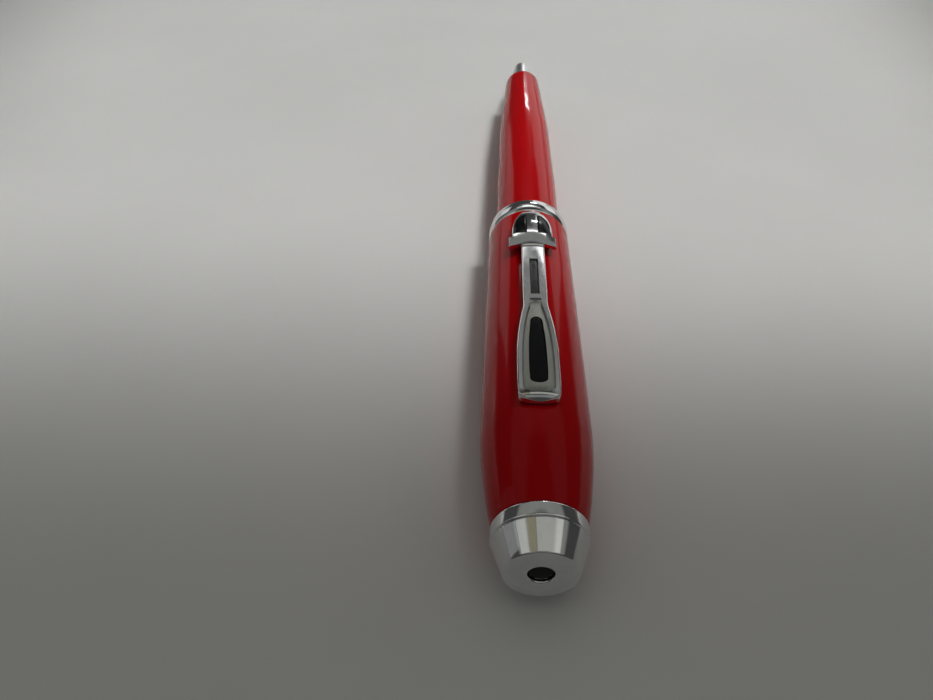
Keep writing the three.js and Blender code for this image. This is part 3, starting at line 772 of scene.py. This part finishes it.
def section():
    nose = through([(1.62, 16.9), (2.6, 20), (3.7, 23.8), (4.15, 27.4)])
    turned(
        "nose_cone",
        [(1.25, 16.5, 0.1), (1.5, 16.5, 0.15), (1.62, 16.9, 0.1)]
        + [(nose(y), y) for y in steps(17, 27.2, 24)]
        + [(4.12, 27.45), (3.6, 27.45), (3.6, 23.8), (2.05, 23.8), (2.05, 20), (1.25, 20)],
        "section", ["nose_cone"], CHROME,
    )
    sleeve = through([(4.2, SLEEVE_START), (4.26, 33), (4.4, 42), (4.62, 52), (4.7, LOCK_START)])
    turned(
        "grip_sleeve",
        [(3.75, SLEEVE_START), (4.1, SLEEVE_START, 0.08)]
        + [(sleeve(y), y) for y in steps(SLEEVE_START + 0.15, LOCK_START - 0.2, 50)]
        + [(4.62, LOCK_START - 0.05, 0.06), (3.75, LOCK_START - 0.05)],
        "section", ["grip_sleeve"], GRIP,
    )
    turned(
        "lock_ring",
        [
            (3.75, 59), (4.7, 59, 0.1), (4.84, 59.25, 0.15), (4.84, 59.65, 0.15), (4.64, 59.85, 0.1),
            (4.64, 60.7, 0.1), (4.84, 60.9, 0.15), (4.84, 61.3, 0.15), (4.7, 61.55, 0.1), (3.75, 61.55),
        ],
        "section", ["lock_ring"], CHROME,
    )

    least_radius = 3.4
    run_in = 0.4

    def thread(r, y, turn):
        if r < least_radius or not THREAD_START - run_in < y < THREAD_END:
            return 0
        phase = ((y / THREAD_PITCH - turn) % 1.0) * 2 - 1
        fade = smooth((y - THREAD_START + run_in) / 0.6) * smooth((THREAD_END - y) / 0.5)
        return -THREAD_DEPTH * fade * smooth(1.5 * abs(phase) - 0.25)

    turned(
        "section_core",
        [(3.1, 23.9, 0.1), (3.5, 23.9, 0.1), (3.5, 28, 0.1), (3.7, 28.2, 0.1), (3.7, 61.6)]
        + [(4.62, 61.6, 0.08), (4.7, 61.75, 0.08), (4.7, 64.3, 0.08), (4.62, 64.45, 0.08)]
        + [(3.7, 64.45), (3.7, 67.3)]
        + [(3.7, y) for y in steps(67.5, 73, 90)]
        + [(3.5, 73.3, 0.1), (3.5, PILOT_END, 0.25), (3.1, PILOT_END, 0.15)],
        "section", ["section_core"], BRASS, SEGMENTS, thread,
    )
    turned(
        "joint_ring",
        [
            (3.8, 64.5, 0.1), (5.2, 64.5, 0.15), (5.3, 64.8, 0.2), (5.3, 66.65, 0.2), (5.2, 66.95, 0.15),
            (3.8, 66.95, 0.1),
        ],
        "joint_ring", ["joint_ring"], CHROME,
    )
    angles = steps(0, 2 * math.pi, 20)[:-1]
    turned(
        "thread_seal",
        [(3.95 + 0.2 * math.cos(a), 67.35 + 0.28 * math.sin(a)) for a in angles],
        "section", ["thread_seal"], RUBBER, FEWER_SEGMENTS,
    )


# ---------------------------------------------------------------- barrel


def barrel():
    shell = [(4.3, BARREL_START, 0.1), (5.38, BARREL_START, 0.1)]
    shell += [(BARREL_OUTLINE(y), y) for y in steps(BARREL_START + 0.2, ROUNDING_START, 110)]
    shoulder = BARREL_OUTLINE(ROUNDING_START)
    corner = BARREL_END - ROUNDING_START
    for turn in steps(0.12, math.pi / 2, 10):
        inward = corner * (1 - math.cos(turn))
        shell.append((shoulder - inward, ROUNDING_START + corner * math.sin(turn)))
    shell += [
        (1.1, BARREL_END), (1.1, WALL_START), (2.35, WALL_START), (2.35, REFILL_END + 1.2),
        (3.1, REFILL_END + 1), (3.1, 112), (3.6, 106), (3.6, 80.45), (4.3, 80.45),
    ]
    mesh = turned_mesh("barrel_shell", shell, MOST_SEGMENTS)
    piece("barrel_shell", mesh, "barrel", ["barrel_shell"], LACQUER)

    greatest_radius = 4.0
    first = 68.2
    last = 74
    fade_length = 0.5

    def thread(r, y, turn):
        if r > greatest_radius or not first < y < last:
            return 0
        phase = ((y / THREAD_PITCH - turn) % 1.0) * 2 - 1
        fade = smooth((y - first) / fade_length) * smooth((last - y) / fade_length)
        return THREAD_DEPTH * fade * smooth(1.25 - 1.5 * abs(phase))

    turned(
        "barrel_bush",
        [(3.8, BUSH_END, 0.1), (4.25, BUSH_END, 0.1), (4.25, 67.75, 0.1), (3.95, 67.75, 0.15)]
        + [(3.8, y) for y in steps(68, 74.2, 80)],
        "barrel", ["barrel_bush"], BRASS, SEGMENTS, thread,
    )
    turned(
        "tail_finial",
        [
            (0, LENGTH), (0.8, LENGTH, 0.3), (1.3, 137.5, 0.4), (1.66, 136.6, 0.5), (1.92, 135.4, 0.6),
            (2.13, 133.2, 1), (2.2, 130, 1), (2.2, BARREL_END + GAP, 0.12), (1.1, BARREL_END + GAP),
            (1.1, 133.75), (0, 133.75),
        ],
        "barrel", ["tail_finial"], PALE_CHROME,
    )
    turned(
        "finial_screw",
        [
            (0, STUD_HEAD), (2, STUD_HEAD, 0.15), (2, WALL_START - GAP, 0.1), (1, WALL_START - GAP, 0.05),
            (1, 133.65, 0.15), (0, 133.65),
        ],
        "barrel", ["finial_screw"], STEEL, FEWER_SEGMENTS,
    )
    refill_spring()


def refill_spring():
    """A short coil with a closed turn at each end, which the refill presses together."""
    wire = 0.2
    coil = 1.95
    turns = 4
    points = []
    span = (REFILL_END + GAP + wire, STUD_HEAD - GAP - wire)
    closed_pitch = 2.1 * wire
    open_pitch = (span[1] - span[0] - 2 * closed_pitch) / (turns - 2)
    for turn in steps(0, turns, 40 * turns):
        rise = closed_pitch * (min(turn, 1) + max(turn - turns + 1, 0))
        rise += open_pitch * min(max(turn - 1, 0), turns - 2)
        angle = 2 * math.pi * turn
        points.append(Vector((coil * math.cos(angle), span[0] + rise, coil * math.sin(angle))))
    mesh = wire_mesh("refill_spring", points, wire)
    spring = piece("refill_spring", mesh, "barrel", ["refill_spring"], STEEL)
    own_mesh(spring)


# ---------------------------------------------------------------- refill


def refill():
    turned(
        "refill_tube",
        [(2.4, 25), (3, 25, 0.1), (3, 123.5, 0.1), (2.4, 123.5)],
        "refill", ["refill_tube"], REFILL,
    )
    turned(
        "refill_nose",
        [
            (1.2, 20.15, 0.1), (1.65, 20.15, 0.15), (1.9, 20.7, 0.2), (1.9, 23.95, 0.1), (2.6, 24.1, 0.2),
            (3, 24.6, 0.15), (3, 24.95, 0.05), (2.35, 24.95, 0.05), (2.35, 29, 0.1), (0.6, 29),
            (0.6, 24.2), (1.2, 24.2),
        ],
        "refill", ["refill_nose"], REFILL,
    )
    ball_radius = 0.35
    ball_y = POINT + ball_radius
    turned(
        "refill_tip",
        [
            (0.345, ball_y - 0.18), (0.42, ball_y - 0.18, 0.03), (0.6, ball_y + 0.5, 0.1),
            (0.66, ball_y + 0.8, 0.1), (1.12, ball_y + 2.6, 0.25), (1.12, 18.9, 0.06), (1, 19, 0.05),
            (1, 19.3, 0.05), (1.12, 19.4, 0.06), (1.12, 24.1), (0.55, 24.1), (0.55, 17), (0.2, 16.4),
            (0.2, ball_y + 0.6), (0.43, ball_y + 0.42), (0.43, ball_y - 0.05),
        ],
        "refill", ["refill_tip"], NICKEL, FEWER_SEGMENTS,
    )
    turned(
        "feed_rod",
        [(0, 17.2), (0.3, 17.2), (0.45, 17.5, 0.1), (0.45, 31, 0.1), (0, 31)],
        "refill", ["feed_rod"], FIBRE, 32,
    )
    turned(
        "ink_reservoir",
        [(0.55, 29.2, 0.1), (2.3, 29.2, 0.2), (2.3, 120.5, 0.2), (0.55, 120.5, 0.1)],
        "refill", ["ink_reservoir"], FIBRE, FEWER_SEGMENTS,
    )
    turned(
        "refill_plug",
        [
            (0, 121), (2.35, 121, 0.1), (2.35, 123.55), (3, 123.55, 0.08), (3, 124.1, 0.2),
            (2.6, 124.5, 0.2), (1.2, 124.5, 0.1), (1.1, 124.1, 0.1), (0, 124.1),
        ],
        "refill", ["refill_plug"], REFILL,
    )

    bm = bmesh.new()
    bmesh.ops.create_icosphere(bm, subdivisions=4, radius=ball_radius * MM)
    bmesh.ops.translate(bm, verts=bm.verts, vec=place(0, ball_y, 0))
    mesh = bpy.data.meshes.new("writing_ball")
    bm.to_mesh(mesh)
    bm.free()
    piece("writing_ball", mesh, "ball", ["writing_ball"], CARBIDE)


crown()
cap()
clip()
section()
barrel()
refill()

# ---------------------------------------------------------------- floor, light and camera


def floor():
    half_side = 3.0
    bm = bmesh.new()
    bmesh.ops.create_grid(bm, x_segments=40, y_segments=40, size=half_side)
    mesh = bpy.data.meshes.new("floor")
    bm.to_mesh(mesh)
    bm.free()
    mesh.materials.append(floor_paper())
    obj = bpy.data.objects.new("floor", mesh)
    bpy.context.scene.collection.objects.link(obj)


def soft_box(name, centre, aim, size, power, colour):
    """A rectangular light, with its centre and what it points at in metres."""
    data = bpy.data.lights.new(name, "AREA")
    data.shape = "RECTANGLE"
    data.size, data.size_y = size
    data.energy = power
    data.color = colour
    obj = bpy.data.objects.new(name, data)
    obj.location = centre
    obj.rotation_euler = (Vector(aim) - Vector(centre)).to_track_quat("-Z", "Y").to_euler()
    obj.visible_camera = False
    bpy.context.scene.collection.objects.link(obj)
    return obj


def reflector(name, centre, aim, size, glow, colour=(1, 1, 1)):
    """A soft panel that shows in shiny surfaces and lights nothing else."""
    power = 4 * glow * size[0] * size[1]
    soft_box(name, centre, aim, size, power, colour).visible_diffuse = False


def toward(azimuth, elevation):
    """A direction; azimuth 0 looks along +Y, and 90 along +X."""
    a, e = math.radians(azimuth), math.radians(elevation)
    return Vector((math.sin(a) * math.cos(e), math.cos(a) * math.cos(e), math.sin(e)))


def sky():
    """A dim room: darkest near the horizon and overhead, and paler in between."""
    world = bpy.data.worlds.new("studio")
    world.use_nodes = True
    nodes, links = world.node_tree.nodes, world.node_tree.links
    direction = nodes.new("ShaderNodeTexCoord").outputs["Generated"]
    split = nodes.new("ShaderNodeSeparateXYZ")
    links.new(direction, split.inputs["Vector"])
    ramp = nodes.new("ShaderNodeValToRGB")
    bands = ((0.1, 0.05), (0.46, 0.05), (0.53, 0.2), (0.8, 0.22), (0.88, 0.03))
    while len(ramp.color_ramp.elements) < len(bands):
        ramp.color_ramp.elements.new(0.5)
    for element, (height, glow) in zip(ramp.color_ramp.elements, bands):
        element.position = height
        element.color = (0.98 * glow, glow, 0.96 * glow, 1)
    links.new(split.outputs["Z"], ramp.inputs["Fac"])
    background = nodes["Background"]
    links.new(ramp.outputs["Color"], background.inputs["Color"])
    bpy.context.scene.world = world


def floor_lights():
    """Light for the floor and the lacquer's own colour; neither shows in a reflection."""
    pool = Vector((-0.014, 0.437, 0))
    source = pool + Vector((0.11, 0, 0.3))
    # A box that leans sideways has its first side along the pen.
    far = soft_box("far_light", source, pool, (0.92, 0.26), 0.406, (1.0, 1.0, 1.0))
    far.visible_glossy = False
    far.data.spread = math.radians(18)
    fill = soft_box("fill", (0, 0, 1), (0, 0, 0), (1, 1), 1.05, (1.0, 0.99, 0.95))
    fill.visible_glossy = False


def ceiling_panels():
    """What the crown's cone shows: two pale panels and a warm beam between them."""
    height = 0.6
    ahead = -0.13
    depth = 0.37
    white = (0.99, 1, 0.92)
    ochre = (1, 0.9, 0.6)
    for name, left, right, glow, colour in (
        ("overhead_left", -0.86, -0.37, 0.2, white),
        ("overhead_beam", -0.36, -0.13, 0.16, ochre),
        ("overhead_right", -0.12, 0.66, 0.26, white),
    ):
        x = (left + right) / 2
        reflector(name, (x, ahead, height), (x, ahead, 0), (right - left, depth), glow, colour)


def wall_panels():
    """What the lacquer, the lip ring and the crown's left side show."""
    barrel_middle = place(0, 110, 0)
    for name, azimuth, elevation, distance, size, glow in (
        ("lamp", 7.5, 18.8, 2, (0.27, 0.045), 20),
        ("window", 22, 11, 2.2, (1.2, 0.8), 0.62),
        ("left_wall", -33, 9, 2.2, (0.6, 0.7), 0.5),
        ("side_wall", -81, 16, 2, (0.8, 1.2), 0.13),
    ):
        centre = barrel_middle + distance * toward(azimuth, elevation)
        reflector(name, centre, barrel_middle, size, glow)
    lip = place(0, 67, 6.9)
    reflector("ring_panel", lip + 0.15 * toward(0, 35), lip, (0.11, 0.006), 1.7)


def camera():
    """The photograph's view: low over the crown, looking down along the pen."""
    image_width = 933
    focal_pixels = 850
    yaw = math.radians(1.76)
    pitch = math.radians(42.52)
    data = bpy.data.cameras.new("camera")
    data.sensor_width = 36
    data.lens = data.sensor_width * focal_pixels / image_width
    data.clip_start = 0.005
    data.clip_end = 20
    obj = bpy.data.objects.new("camera", data)
    obj.location = place(-7.03, -55.59, 86.48)
    level = math.cos(pitch)
    forward = Vector((-math.sin(yaw) * level, math.cos(yaw) * level, -math.sin(pitch)))
    obj.rotation_euler = forward.to_track_quat("-Z", "Y").to_euler()
    bpy.context.scene.collection.objects.link(obj)
    bpy.context.scene.camera = obj


floor()
sky()
floor_lights()
ceiling_panels()
wall_panels()
camera()
bpy.context.scene.view_settings.view_transform = "Standard"
